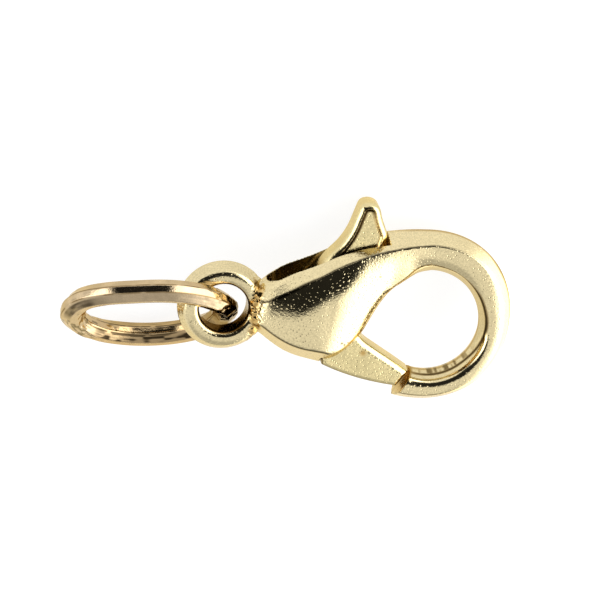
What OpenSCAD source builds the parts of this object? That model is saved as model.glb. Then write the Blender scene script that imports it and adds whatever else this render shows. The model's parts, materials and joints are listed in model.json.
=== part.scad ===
// Lobster clasp of 12 mm with its jump ring, lying as it rests on a table.
// The clasp is drawn in its own plane first: X from the eye to the hook, Y towards the
// thumb lever, Z out of the front face, with zero at the centre of the eye's hole.
// The module at_rest() then lays all of it on the table.

/* [Eye] */
// Outer diameter of the eye, across the parting line
eye_d = 3.16; // [2.8:0.02:3.6]
// Diameter of the hole in the eye
eye_hole_d = 1.78; // [1.5:0.02:1.9]
// Thickness of the eye
eye_thick = 1.2; // [1:0.05:1.4]
// Radius that rounds the rim of the hole
eye_round = 0.3; // [0.1:0.02:0.34]

/* [Hook] */
// Distance from the eye's centre to the hook's centre
hook_reach = 7.3; // [7:0.1:8.2]
// Outer size of the hook, across the parting line
hook_d = 6.34; // [6.1:0.02:6.8]
// How square the hook's outer outline is, where 2 is a true circle
hook_square = 2.12; // [2:0.01:2.3]
// Thickness of the hook between its outer creases
hook_thick = 1.72; // [1.5:0.02:2]
// Thickness of the hook between its inner creases
hook_inner_thick = 1.04; // [0.8:0.02:1.3]
// Diameter of the opening inside the hook
hole_d = 3.74; // [3.4:0.02:4]
// How far the opening's centre lies beyond the hook's centre
hole_shift_x = 0.15; // [0:0.01:0.3]
// How far the opening's centre lies below the hook's centre
hole_shift_y = 0.2; // [0.1:0.01:0.3]
// Where the hook's tip ends outside, as the angle past straight down
tip_angle = 17.5; // [15:0.5:19]
// Where the hook's tip ends inside, as the angle past straight down
tip_inner_angle = 14.5; // [12:0.5:16]
// Taper of the cast flanks towards the parting line
draft = 24; // [18:1:28]

/* [Body] */
// Thickness of the hollow body between its creases, at its fullest
body_thick = 2.84; // [2.6:0.02:3.2]
// How far the body's face is crowned above its creases
crown = 0.12; // [0.05:0.01:0.2]
// Where the body begins behind the eye
neck_x = 1.12; // [1.05:0.01:1.25]
// Half width of the body where it begins
neck_half = 0.8; // [0.7:0.02:0.9]
// Where the gate leaves the belly
belly_x = 3.7; // [3.6:0.05:3.9]
// Depth of the belly there, below the clasp's axis
belly_depth = 1.97; // [1.85:0.01:2.1]
// Where the gate leaves the edge of the opening
corner_x = 5.02; // [4.95:0.01:5.1]
// Depth of that corner below the clasp's axis
corner_depth = 0.62; // [0.5:0.01:0.75]
// Width of the slot that the trigger turns in
slot_w = 1.4; // [1.3:0.02:1.5]
// Where the slot begins behind the eye
slot_x = 1.5; // [1.45:0.05:1.7]
// Where the slot ends, beside the lever
slot_end_x = 5.8; // [5.75:0.01:5.95]
// Room between the hub and the slot's floor
hub_room = 0.28; // [0.2:0.02:0.32]

/* [Trigger] */
// Pivot's distance from the eye's centre along the clasp's axis
pivot_x = 2.9; // [2.85:0.05:3]
// Radius of the hub round the pivot
hub_r = 0.85; // [0.75:0.05:0.9]
// Height of the thumb lever above the clasp's axis
lever_h = 4.18; // [4:0.02:4.4]
// Gap between the trigger and each side of its slot
side_gap = 0.09; // [0.06:0.01:0.12]
// Gap between the gate's end and the hook's tip
gate_gap = 0.08; // [0.06:0.01:0.12]
// Bevel along the trigger's edges
bevel_w = 0.1; // [0.06:0.01:0.14]

/* [Pivot pin] */
// Diameter of the pivot pin
pin_d = 0.7; // [0.6:0.02:0.8]
// Running clearance between the pin and the trigger's bore
pin_play = 0.05; // [0.03:0.01:0.08]
// Metal left between the pin's blind end and the front face
pin_cover = 0.45; // [0.35:0.05:0.6]

/* [Jump ring] */
// Outer diameter of the jump ring
ring_d = 6.32; // [6.1:0.02:6.6]
// Diameter of its wire
wire_d = 0.82; // [0.7:0.02:0.82]
// How far the ring leans from upright across the clasp
ring_lean = 33.8; // [32:0.2:34]
// How far the ring is turned about the eye's hole
ring_turn = 2.6; // [0:0.2:5]
// How far the ring's centre lies behind the clasp's middle plane
ring_drop = 0.6; // [0.4:0.05:0.65]
// Gap of the closed cut in the ring
cut_gap = 0.03; // [0.02:0.01:0.06]

/* [Hidden] */
GOLD = [0.9, 0.83, 0.64];
RING_GOLD = [0.8, 0.69, 0.48];
$fn = 48;

hook_r = hook_d / 2;
hook_t = hook_thick / 2;
inner_t = hook_inner_thick / 2;
body_t = body_thick / 2;
hole_r = hole_d / 2;
hole_c = [hook_reach + hole_shift_x, -hole_shift_y];
slot_t = slot_w / 2;
trigger_t = slot_t - side_gap;
pin_r = pin_d / 2;
// Half height of the narrow land along the parting line
land = 0.06;
// Thickness of the cheeks' edge beside the slot
lip_thick = 0.02;
lip = slot_t + lip_thick;
// Pin's clearance in the body, which holds it
pin_hold = 0.02;
// Amount by which a cut passes the surface that it opens
over = 1;

// Radius of the arc along the back of the body, tangent to the top of the hook
top_r = (pow(hook_reach - neck_x, 2) + pow(hook_r - neck_half, 2))
    / (2 * (hook_r - neck_half));

function top_point(share) =
    let (x = neck_x + (hook_reach - neck_x) * share)
    [x, hook_r - top_r + sqrt(top_r * top_r - pow(hook_reach - x, 2))];

function signed_power(v) = sign(v) * pow(abs(v), 2 / hook_square);

function hook_point(a) =
    [hook_reach + hook_r * signed_power(cos(a)), hook_r * signed_power(sin(a))];

function hole_point(a) = hole_c + hole_r * [cos(a), sin(a)];

function mix(a, b, share) = a + (b - a) * share;

// One station of the body: points on its outer and inner outline, then the height and
// inset of the outer crease, the same of the inner one, the height of the edge below the
// inner crease, and the crown of the face between them.
function station(out, in, t_out, e_out, t_in, e_in, t_edge, rise) =
    [out.x, out.y, in.x, in.y, t_out, e_out, t_in, e_in, t_edge, rise];

// Belly, from the neck to where the gate leaves it. Heights are shares of body_t, insets
// are multiples of what the draft gives at that height.
// [along top, along belly, depth, height, outer inset, inner inset, crown]
BELLY = [
    [0.000, 0.00, 0.00, 0.30, 1.20, 1.20, 0.0],
    [0.030, 0.08, 0.11, 0.54, 1.40, 1.30, 0.1],
    [0.095, 0.26, 0.40, 0.74, 1.38, 1.12, 0.4],
    [0.175, 0.44, 0.65, 0.88, 1.42, 1.05, 0.7],
    [0.265, 0.63, 0.82, 0.96, 1.44, 1.04, 1.0],
    [0.355, 0.82, 0.92, 0.99, 1.30, 1.08, 1.0],
    [0.440, 1.00, 1.00, 0.97, 1.14, 1.14, 1.0]];

// Cheek, from the belly to the corner. Heights are shares between hook and body.
// [along top, across, up, outer height, outer inset, inner height, inner inset, crown]
CHEEK = [
    [0.450, 0.02, 0.22, 0.92, 1.13, 0.84, 0.60, 1.0],
    [0.500, 0.33, 0.33, 0.82, 1.08, 0.64, 0.60, 1.0],
    [0.555, 0.66, 0.60, 0.68, 1.04, 0.36, 0.46, 0.9],
    [0.610, 1.00, 1.00, 0.50, 1.02, 0.08, 0.30, 0.8]];

// Rim of the opening, from the corner to the top of the hook's hole. Inner heights are
// shares between the hook's inner edge and its outer one.
// [along top, across, up, outer height, outer inset, inner height, inner inset, lip, crown]
RIM = [
    [0.610, 0.00, 0.000, 0.50, 1.02, 1.13, 0.30, 1.0, 0.8],
    [0.655, 0.10, 0.225, 0.40, 1.04, 1.00, 0.22, 1.0, 0.7],
    [0.710, 0.24, 0.510, 0.30, 1.04, 0.94, 0.22, 1.0, 0.6],
    [0.770, 0.38, 0.705, 0.22, 1.04, 0.88, 0.26, 1.0, 0.5],
    [0.840, 0.59, 0.880, 0.15, 1.02, 0.86, 0.40, 1.0, 0.4],
    [0.915, 0.78, 0.965, 0.07, 0.98, 0.34, 0.85, 0.3, 0.3],
    [1.000, 1.00, 1.000, 0.00, 0.93, 0.00, 1.40, 0.0, 0.3]];

flank = tan(draft);
hole_top = hole_point(90);
corner = [corner_x, -corner_depth];
belly = [belly_x, -belly_depth];
neck_low = [neck_x, -neck_half];

belly_rows = [for (r = BELLY)
    let (t = body_t * r[3])
    station(top_point(r[0]),
        [mix(neck_low.x, belly.x, r[1]), mix(neck_low.y, belly.y, r[2])],
        t, t * flank * r[4], t, t * flank * r[5], land, crown * r[6])];

cheek_rows = [for (r = CHEEK)
    let (t = mix(hook_t, body_t, r[3]), u = mix(lip, body_t, r[5]))
    station(top_point(r[0]),
        [mix(belly.x, corner.x, r[1]), mix(belly.y, corner.y, r[2])],
        t, t * flank * r[4], u + land, u * flank * r[6], lip, crown * r[7])];

rim_rows = [for (r = RIM)
    let (t = mix(hook_t, body_t, r[3]), u = mix(inner_t, lip + land, r[5]))
    station(top_point(r[0]),
        [mix(corner.x, hole_top.x, r[1]), mix(corner.y, hole_top.y, r[2])],
        t, t * flank * r[4], u, inner_t * flank * r[6], mix(land, lip, r[7]),
        crown * r[8])];

last = rim_rows[len(rim_rows) - 1];

// The hook keeps the section of the rim's last row, and its tip has a chamfered end
hook_steps = 26;
// [share along the hook, share of the heights, share by which the outside is drawn in]
TIP = [[0.970, 1.00, 0.00], [1.000, 0.74, 0.09]];

function hook_station(share, height, drawn) =
    let (out = hook_point(mix(90, -90 - tip_angle, share)),
        in = hole_point(mix(90, -90 - tip_inner_angle, share)))
    station(mix(out, in, drawn), in,
        last[4] * height, last[5], last[6] * height, last[7], land, last[9] * height);

hook_rows = concat(
    [for (i = [1:hook_steps]) hook_station(TIP[0][0] * i / hook_steps, TIP[0][1], TIP[0][2])],
    [hook_station(TIP[1][0], TIP[1][1], TIP[1][2])]);

// Rows filled in by a smooth curve through them
function curve_at(p, q, r, s, v) =
    0.5 * (2 * q + (r - p) * v + (2 * p - 5 * q + 4 * r - s) * v * v
        + (3 * q - p - 3 * r + s) * v * v * v);

function fill_in(rows, steps) = let (n = len(rows) - 1) concat(
    [for (i = [0:n - 1], k = [0:steps - 1])
        curve_at(rows[max(i - 1, 0)], rows[i], rows[i + 1], rows[min(i + 2, n)], k / steps)],
    [rows[n]]);

function tail(list) = [for (i = [1:len(list) - 1]) list[i]];

body_stations = concat(
    fill_in(belly_rows, 3), fill_in(cheek_rows, 3), tail(fill_in(rim_rows, 3)), hook_rows);

// Points of one station's section, from the outer outline over the front face to the
// inner one, and back over the rear face
face_steps = 5;
// How late the face rolls off towards the opening
roll_off = 2.2;

function half_section(s) =
    let (w = norm([s[2] - s[0], s[3] - s[1]]), face = w - s[5] - s[7])
    concat(
        [[0, land]],
        [for (k = [0:face_steps])
            let (v = k / face_steps)
            [s[5] + face * v,
                mix(s[4], s[6], pow(v, roll_off)) + s[9] * 4 * v * (1 - v)]],
        [[w, s[8]]]);

function section(s) =
    let (h = half_section(s),
        n = len(h),
        out = [s[0], s[1]],
        dir = [s[2] - s[0], s[3] - s[1]] / norm([s[2] - s[0], s[3] - s[1]]))
    [for (k = [0:2 * n - 1])
        let (front = k < n, p = front ? h[k] : h[2 * n - 1 - k], at = out + dir * p.x)
        [at.x, at.y, front ? p.y : -p.y]];

// A closed solid through sections of equal length, each symmetric front to back
module loft(sections) {
    n = len(sections[0]);
    rings = len(sections);
    half = n / 2;
    sides = [for (i = [0:rings - 2], k = [0:n - 1])
        let (a = i * n + k, b = i * n + (k + 1) % n)
        each [[a, b + n, b], [a, a + n, b + n]]];
    ends = [for (k = [0:half - 2])
        let (a = k, b = k + 1, c = n - 2 - k, d = n - 1 - k, z = (rings - 1) * n)
        each [[a, b, c], [a, c, d], [z + a, z + c, z + b], [z + a, z + d, z + c]]];
    polyhedron([for (s = sections) each s], concat(sides, ends));
}

slot_top = lever_h + over;
slot_below = -belly_depth - over;
// The belly's wall ends this much before the gate leaves it
belly_lip = 0.13;
// Where the slot ends along the rim of the opening, and a low point inside the opening
slot_hole_angle = 118;
slot_low_angle = 225;
hub_space = hub_r + hub_room;

// Outline of the slot, seen from the front: down beside the eye, round the hub, out
// through the belly, and back up through the opening to the lever's side
slot_outline = concat(
    [[slot_x, slot_top]],
    [[slot_x, neck_half]],
    [for (a = [180:15:285]) [pivot_x + hub_space * cos(a), hub_space * sin(a)]],
    [[belly_x - belly_lip, -belly_depth]],
    [[belly_x - belly_lip, slot_below]],
    [[corner_x + over, slot_below]],
    [hole_point(slot_low_angle)],
    [hole_c],
    [hole_point(slot_hole_angle)],
    [[slot_end_x, top_point((slot_end_x - neck_x) / (hook_reach - neck_x)).y]],
    [[slot_end_x, slot_top]]);

module slot() {
    translate([0, 0, -slot_t]) linear_extrude(slot_w) polygon(slot_outline);
}

// The eye: tapered flanks outside, a rounded rim round the hole
module eye() {
    t = eye_thick / 2;
    r = eye_d / 2;
    hole = eye_hole_d / 2;
    crease = r - (t - land) * flank;
    rotate_extrude() difference() {
        polygon([[hole, -t], [crease, -t], [r, -land], [r, land], [crease, t], [hole, t]]);
        for (side = [-1, 1])
            translate([hole + eye_round, side * (t - eye_round)])
                difference() {
                    translate([-2 * eye_round, side > 0 ? 0 : -2 * eye_round])
                        square([2 * eye_round, 2 * eye_round]);
                    circle(eye_round);
                }
    }
}

module pin_hole(r, front) {
    translate([pivot_x, 0, -body_t - over]) cylinder(r = r, h = body_t + over + front);
}

// Where the pin's blind end lies, in front of the middle plane
pin_front = body_t + crown - pin_cover;
// How far the pin's other end is sunk below the back of the body
pin_sink = 0.04;

module clasp_body() {
    difference() {
        loft([for (s = body_stations) section(s)]);
        slot();
        pin_hole(pin_r + pin_hold, pin_front);
    }
    eye();
}

// Direction along the hook's end face, and the way from it to the gate
tip_out = hook_point(-90 - tip_angle);
tip_in = hole_point(-90 - tip_inner_angle);
tip_along = tip_in - tip_out;
tip_normal = [-tip_along.y, tip_along.x] / norm(tip_along);

// Trigger outlines, as shares of lever_h from the pivot, with the bevel's multiple
// [across, up, bevel]
LEVER = [
    [0.495, -0.075, 1.0], [0.545, 0.045, 1.0], [0.615, 0.215, 1.0], [0.645, 0.410, 1.0],
    [0.650, 0.620, 1.0], [0.667, 0.714, 1.6], [0.644, 0.778, 2.4], [0.610, 0.861, 2.4],
    [0.584, 0.945, 2.0], [0.550, 0.985, 1.4], [0.494, 1.000, 1.0], [0.440, 0.988, 1.0],
    [0.410, 0.957, 1.0], [0.384, 0.880, 1.0], [0.336, 0.737, 1.0], [0.268, 0.617, 1.0],
    [0.172, 0.507, 1.0], [0.060, 0.358, 1.0]];
// Gate outlines, as shares of the way from the belly's end or the corner to the hook's tip
// [along, down below that line as a share of its length, bevel]
GATE_LOW = [[0.00, 0.00, 1.0], [0.22, 0.028, 1.0], [0.50, 0.040, 1.0], [0.78, 0.026, 1.0]];
GATE_HIGH = [[0.70, 0.010, 1.0], [0.42, 0.025, 1.0], [0.16, 0.035, 1.0], [0.02, 0.010, 1.0]];
// Where the gate's end lies along the hook's end face
GATE_END = [0.36, 0.95];

gate_end = [for (share = GATE_END) tip_out + tip_along * share + tip_normal * gate_gap];
// How far inside the cheeks' edges the gate's lower and upper outlines start
arm_low_in = 0.08;
arm_high_in = 0.12;
arm_low = belly + [0, arm_low_in];
arm_high = corner - [0, arm_high_in];

function along(a, b, row) =
    let (d = b - a, q = a + d * row[0] + [d.y, -d.x] * row[1]) [q.x, q.y, row[2]];

trigger_rows = concat(
    [for (row = GATE_LOW) along(arm_low, gate_end[0], row)],
    [for (p = gate_end) [p.x, p.y, 1]],
    [for (row = GATE_HIGH) along(arm_high, gate_end[1], row)],
    [for (row = LEVER) [pivot_x + lever_h * row[0], lever_h * row[1], row[2]]],
    [for (a = [115:15:295]) [pivot_x + hub_r * cos(a), hub_r * sin(a), 1]]);

// The outline drawn in by its bevel
function drawn_in(rows, w) = let (n = len(rows)) [for (i = [0:n - 1])
    let (
        p = rows[(i + n - 1) % n],
        q = rows[i],
        r = rows[(i + 1) % n],
        a = [q.x - p.x, q.y - p.y] / norm([q.x - p.x, q.y - p.y]),
        b = [r.x - q.x, r.y - q.y] / norm([r.x - q.x, r.y - q.y]),
        m = [-a.y - b.y, a.x + b.x],
        size = m * m)
    [q.x, q.y] + m * (2 * w * q[2] / size)];

// [height, how far the outline is drawn in]
TRIGGER_LEVELS = [
    [-trigger_t, bevel_w], [bevel_w - trigger_t, 0],
    [trigger_t - bevel_w, 0], [trigger_t, bevel_w]];

trigger_points = [for (level = TRIGGER_LEVELS, p = drawn_in(trigger_rows, level[1]))
    [p.x, p.y, level[0]]];

module bevelled_plate() {
    n = len(trigger_rows);
    sides = [for (i = [0:len(TRIGGER_LEVELS) - 2], k = [0:n - 1])
        let (a = i * n + k, b = i * n + (k + 1) % n)
        each [[a, a + n, b + n], [a, b + n, b]]];
    back = [for (k = [0:n - 1]) k];
    front = [for (k = [1:n]) len(trigger_points) - k];
    polyhedron(trigger_points, concat(sides, [back, front]));
}

ring_r = (ring_d - wire_d) / 2;
// Where the wire's middle crosses the middle plane, inside the eye's hole
ring_seat = [0.08, -0.06];
ring_cross = asin(ring_drop / (ring_r * cos(ring_lean)));
cut_angle = 2 * asin(cut_gap / (2 * ring_r));

module ring_place() {
    translate([ring_seat.x, ring_seat.y, 0]) rotate([90 - ring_lean, 0, ring_turn])
        rotate([0, 0, ring_cross]) translate([-ring_r, 0, 0]) children();
}

function turned(p, a) = [p.x * cos(a) - p.y * sin(a), p.x * sin(a) + p.y * cos(a), p.z];

ring_axis = turned([0, -cos(ring_lean), sin(ring_lean)], ring_turn);
ring_centre = [ring_seat.x, ring_seat.y, 0] + turned(
    [-ring_r * cos(ring_cross), -ring_r * sin(ring_cross) * sin(ring_lean), -ring_drop],
    ring_turn);

// The table touches the jump ring, the casting and the thumb lever. From a first guess of
// which way is up, the plane through the three points that lie lowest is found again and
// again, until it stays the same.
cast_points = [for (s = body_stations) each section(s)];
tiny = 0.0001;

function furthest(points, way) =
    let (reach = max([for (p = points) p * way]))
    [for (p = points) if (p * way > reach - tiny) p][0];

function ring_furthest(way) =
    let (flat = way - ring_axis * (ring_axis * way))
    ring_centre + flat / norm(flat) * ring_r + way / norm(way) * wire_d / 2;

function settled(up, times) = times == 0 ? up :
    let (a = ring_furthest(-up),
        b = furthest(cast_points, -up),
        c = furthest(trigger_points, -up),
        n = cross(b - a, c - a))
    settled(n / norm(n) * sign(n * up), times - 1);

// The clasp rolls back onto its ring and its lever
first_guess = [0, -0.3, 0.95];
table_up = settled(first_guess, 8);
rest_roll = atan2(table_up.y, table_up.z);
rest_pitch = atan2(-table_up.x, norm([table_up.y, table_up.z]));

// The table's own directions in the clasp's frame, and how far the clasp reaches in each
table_x = [cos(rest_pitch), sin(rest_pitch) * sin(rest_roll), sin(rest_pitch) * cos(rest_roll)];
table_y = [0, cos(rest_roll), -sin(rest_roll)];

function reach(way) = max(
    ring_furthest(way) * way,
    furthest(cast_points, way) * way,
    furthest(trigger_points, way) * way);

function middle(way) = (reach(way) - reach(-way)) / 2;

rest_origin = [middle(table_x), middle(table_y), -reach(-table_up)];

// Lays the clasp on the table, with zero below the middle of its outer box
module at_rest() {
    translate(-rest_origin) rotate([rest_roll, rest_pitch, 0]) children();
}

module body() {
    color(GOLD) at_rest() clasp_body();
}

module trigger() {
    color(GOLD) at_rest() difference() {
        bevelled_plate();
        pin_hole(pin_r + pin_play, slot_t);
    }
}

module pivot_pin() {
    length = body_t + crown - pin_sink + pin_front - pin_sink;
    color(GOLD) at_rest() translate([pivot_x, 0, pin_sink - body_t - crown])
        cylinder(r = pin_r, h = length);
}

module jump_ring() {
    color(RING_GOLD) at_rest() ring_place() rotate([0, 0, cut_angle / 2])
        rotate_extrude(angle = 360 - cut_angle) translate([ring_r, 0]) circle(wire_d / 2);
}

body();
trigger();
pivot_pin();
jump_ring();
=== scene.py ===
import json
import math

import bpy
import numpy as np
from mathutils import Matrix, Vector


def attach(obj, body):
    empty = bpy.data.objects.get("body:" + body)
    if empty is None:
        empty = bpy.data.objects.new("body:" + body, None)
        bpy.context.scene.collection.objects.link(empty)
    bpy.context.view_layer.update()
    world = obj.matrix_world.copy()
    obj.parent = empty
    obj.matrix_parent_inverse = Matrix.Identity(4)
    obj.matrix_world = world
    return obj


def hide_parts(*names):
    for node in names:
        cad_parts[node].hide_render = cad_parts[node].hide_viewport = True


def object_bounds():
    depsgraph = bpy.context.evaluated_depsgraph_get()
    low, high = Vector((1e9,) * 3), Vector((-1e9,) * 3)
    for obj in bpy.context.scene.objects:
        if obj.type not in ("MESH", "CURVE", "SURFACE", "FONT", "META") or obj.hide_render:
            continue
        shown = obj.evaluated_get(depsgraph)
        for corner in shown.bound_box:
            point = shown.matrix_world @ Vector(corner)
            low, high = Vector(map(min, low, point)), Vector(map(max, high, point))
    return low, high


# Lobster clasp with its jump ring. Shapes are in the clasp's own frame in millimetres: X
# from the eye to the hook, Y towards the thumb lever, Z out of the front face, zero at the
# centre of the eye's hole. put_on_table() lays them where the frame is.

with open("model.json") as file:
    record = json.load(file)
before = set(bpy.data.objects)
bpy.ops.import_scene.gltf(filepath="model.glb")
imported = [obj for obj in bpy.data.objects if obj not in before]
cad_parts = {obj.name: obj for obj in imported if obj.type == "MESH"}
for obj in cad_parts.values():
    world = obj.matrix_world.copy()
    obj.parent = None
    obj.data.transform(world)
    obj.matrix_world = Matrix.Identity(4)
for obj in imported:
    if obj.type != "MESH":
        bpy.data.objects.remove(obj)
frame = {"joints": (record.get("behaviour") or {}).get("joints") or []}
cad_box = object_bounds()

MM = 0.001

# Driving dimensions of the clasp, in millimetres and degrees, as in the construction
EYE_D = 3.16
EYE_HOLE_D = 1.78
EYE_THICK = 1.2
EYE_ROUND = 0.2
HOOK_REACH = 7.3
HOOK_D = 6.34
HOOK_SQUARE = 2.12
HOOK_THICK = 1.72
HOOK_INNER_THICK = 1.04
HOLE_D = 3.74
HOLE_SHIFT = (0.15, -0.2)
TIP_ANGLE = 17.5
TIP_INNER_ANGLE = 14.5
DRAFT = 24
BODY_THICK = 2.84
CROWN = 0.12
NECK_X = 1.12
NECK_HALF = 0.8
BELLY = (3.7, -1.97)
CORNER = (5.02, -0.62)
SLOT_W = 1.4
SLOT_X = 1.5
SLOT_END_X = 5.8
PIVOT_X = 2.9
HUB_R = 0.85
HUB_ROOM = 0.28
LEVER_H = 4.18
SIDE_GAP = 0.09
GATE_GAP = 0.08
PIN_D = 0.7
PIN_PLAY = 0.05
PIN_HOLD = 0.02
PIN_COVER = 0.45
PIN_SINK = 0.04
RING_D = 6.32
WIRE_D = 0.82
RING_LEAN = 33.8
RING_TURN = 2.6
RING_DROP = 0.6
RING_SEAT = (0.08, -0.06)
CUT_GAP = 0.03
LAND = 0.06
LIP_THICK = 0.02

FLANK = math.tan(math.radians(DRAFT))
HOOK_R = HOOK_D / 2
HOLE_R = HOLE_D / 2
HOLE_C = np.array([HOOK_REACH + HOLE_SHIFT[0], HOLE_SHIFT[1]])
BODY_T = BODY_THICK / 2
HOOK_T = HOOK_THICK / 2
INNER_T = HOOK_INNER_THICK / 2
SLOT_T = SLOT_W / 2
TRIGGER_T = SLOT_T - SIDE_GAP
LIP = SLOT_T + LIP_THICK

# Steps of the casting's mesh, the trigger's mesh and the relief maps, in millimetres
MESH_STEP = 0.052
TRIGGER_STEP = 0.046
MAP_STEP = 0.03


# Where the clasp lies in the frame, from the trigger's joint

joint = frame["joints"][0]
clasp_z = Vector(joint["axis"]).normalized()
rest_roll = -math.asin(clasp_z.y)
rest_pitch = math.atan2(clasp_z.x, clasp_z.z)
TO_TABLE = Matrix.Rotation(rest_pitch, 3, "Y") @ Matrix.Rotation(rest_roll, 3, "X")
ORIGIN = Vector(joint["pos_m"]) - TO_TABLE @ Vector((PIVOT_X * MM, 0, 0))


def put_on_table(points):
    """Clasp-frame millimetres to the frame's metres."""
    turn = np.array(TO_TABLE)
    return points @ turn.T * MM + np.array(ORIGIN)


# Small numeric helpers

def mix(a, b, share):
    return a + (b - a) * share


def toward_angle(degrees, reach=1.0):
    """The point at this distance from zero in this direction."""
    a = math.radians(degrees)
    return np.array([reach * math.cos(a), reach * math.sin(a)])


def smooth_min(a, b, soft):
    near = np.maximum(soft - np.abs(a - b), 0) / soft
    return np.minimum(a, b) - near ** 3 * soft / 6


def smooth_max(a, b, soft):
    return -smooth_min(-a, -b, soft)


def smooth_step(v, low, high):
    t = np.clip((v - low) / (high - low), 0, 1)
    return t * t * (3 - 2 * t)


def fade(v, low, high):
    """1 up to low, falling to 0 at high."""
    return 1 - smooth_step(v, low, high)


def curve_through(rows, steps):
    """Rows filled in by a smooth curve through them."""
    rows = np.array(rows, float)
    n = len(rows) - 1
    out = []
    for i in range(n):
        p, q, r, s = rows[max(i - 1, 0)], rows[i], rows[i + 1], rows[min(i + 2, n)]
        for k in range(steps):
            v = k / steps
            out.append(0.5 * (2 * q + (r - p) * v + (2 * p - 5 * q + 4 * r - s) * v * v
                              + (3 * q - p - 3 * r + s) * v ** 3))
    return out + [rows[n]]


def outline_distance(x, y, outline, closed=True):
    """Distance to an outline, positive inside it when it is closed."""
    p = np.array(outline, float)
    q = np.roll(p, -1, axis=0) if closed else p[1:]
    p = p if closed else p[:-1]
    best = np.full(x.shape, 1e9)
    inside = np.zeros(x.shape, bool)
    for (px, py), (qx, qy) in zip(p, q):
        dx, dy = qx - px, qy - py
        size = dx * dx + dy * dy
        if size < 1e-12:
            continue
        t = np.clip(((x - px) * dx + (y - py) * dy) / size, 0, 1)
        best = np.minimum(best, (x - px - t * dx) ** 2 + (y - py - t * dy) ** 2)
        if closed and abs(dy) > 1e-12:
            crosses = ((py > y) != (qy > y)) & (x < dx * (y - py) / dy + px)
            inside ^= crosses
    return np.sqrt(best) * (np.where(inside, 1, -1) if closed else 1)


def blurred(layer, width):
    """A layer of a relief map, smoothed over a width in millimetres."""
    reach = int(3 * width / MAP_STEP)
    taps = np.exp(-0.5 * (np.arange(-reach, reach + 1) * MAP_STEP / width) ** 2)
    taps /= taps.sum()
    for axis in (0, 1):
        pad = [(reach, reach) if k == axis else (0, 0) for k in (0, 1)]
        wide = np.pad(layer, pad, mode="edge")
        layer = sum(tap * np.take(wide, np.arange(k, k + layer.shape[axis]), axis)
                    for k, tap in enumerate(taps))
    return layer


class Relief:
    """Several values over the clasp's plane, kept on a fine grid and read between its points."""

    def __init__(self, low, high, layers, soft=()):
        self.low = np.array(low, float)
        lines = [a + MAP_STEP * np.arange(math.ceil((b - a) / MAP_STEP) + 1)
                 for a, b in zip(low, high)]
        gx, gy = np.meshgrid(*lines, indexing="ij")
        self.shape = gx.shape
        values = layers(gx.ravel(), gy.ravel())
        soft = list(soft) + [0] * len(values)
        values = [v.reshape(self.shape) for v in values]
        self.grid = np.stack([blurred(v, w) if w else v for v, w in zip(values, soft)], -1)

    def read(self, x, y):
        u = np.clip((x - self.low[0]) / MAP_STEP, 0, self.shape[0] - 1.001)
        v = np.clip((y - self.low[1]) / MAP_STEP, 0, self.shape[1] - 1.001)
        i, j = u.astype(int), v.astype(int)
        a, b = (u - i)[..., None], (v - j)[..., None]
        g = self.grid
        low = g[i, j] * (1 - a) + g[i + 1, j] * a
        high = g[i, j + 1] * (1 - a) + g[i + 1, j + 1] * a
        return np.moveaxis(low * (1 - b) + high * b, -1, 0)


# Surface of a field, by cells and then by moving each point onto the field's zero

CORNERS = [(i, j, k) for i in (0, 1) for j in (0, 1) for k in (0, 1)]
EDGES = [(a, b) for a in range(8) for b in range(a + 1, 8)
         if sum(abs(CORNERS[a][k] - CORNERS[b][k]) for k in range(3)) == 1]


# Reach in millimetres that a field's slope is taken over; then how often points are moved
# onto the surface, the least square of the slope, and the longest move as a share of a cell
SLOPE_REACH = 0.012
MOVES, LEAST_SLOPE, LONGEST_MOVE = 4, 0.05, 0.5


def slopes(field, p):
    """The field's slope at each point, along the three axes."""
    steps = np.eye(3) * SLOPE_REACH
    rises = [field(*(p + step).T) - field(*(p - step).T) for step in steps]
    return np.stack(rises, 1) / (2 * SLOPE_REACH)


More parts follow.
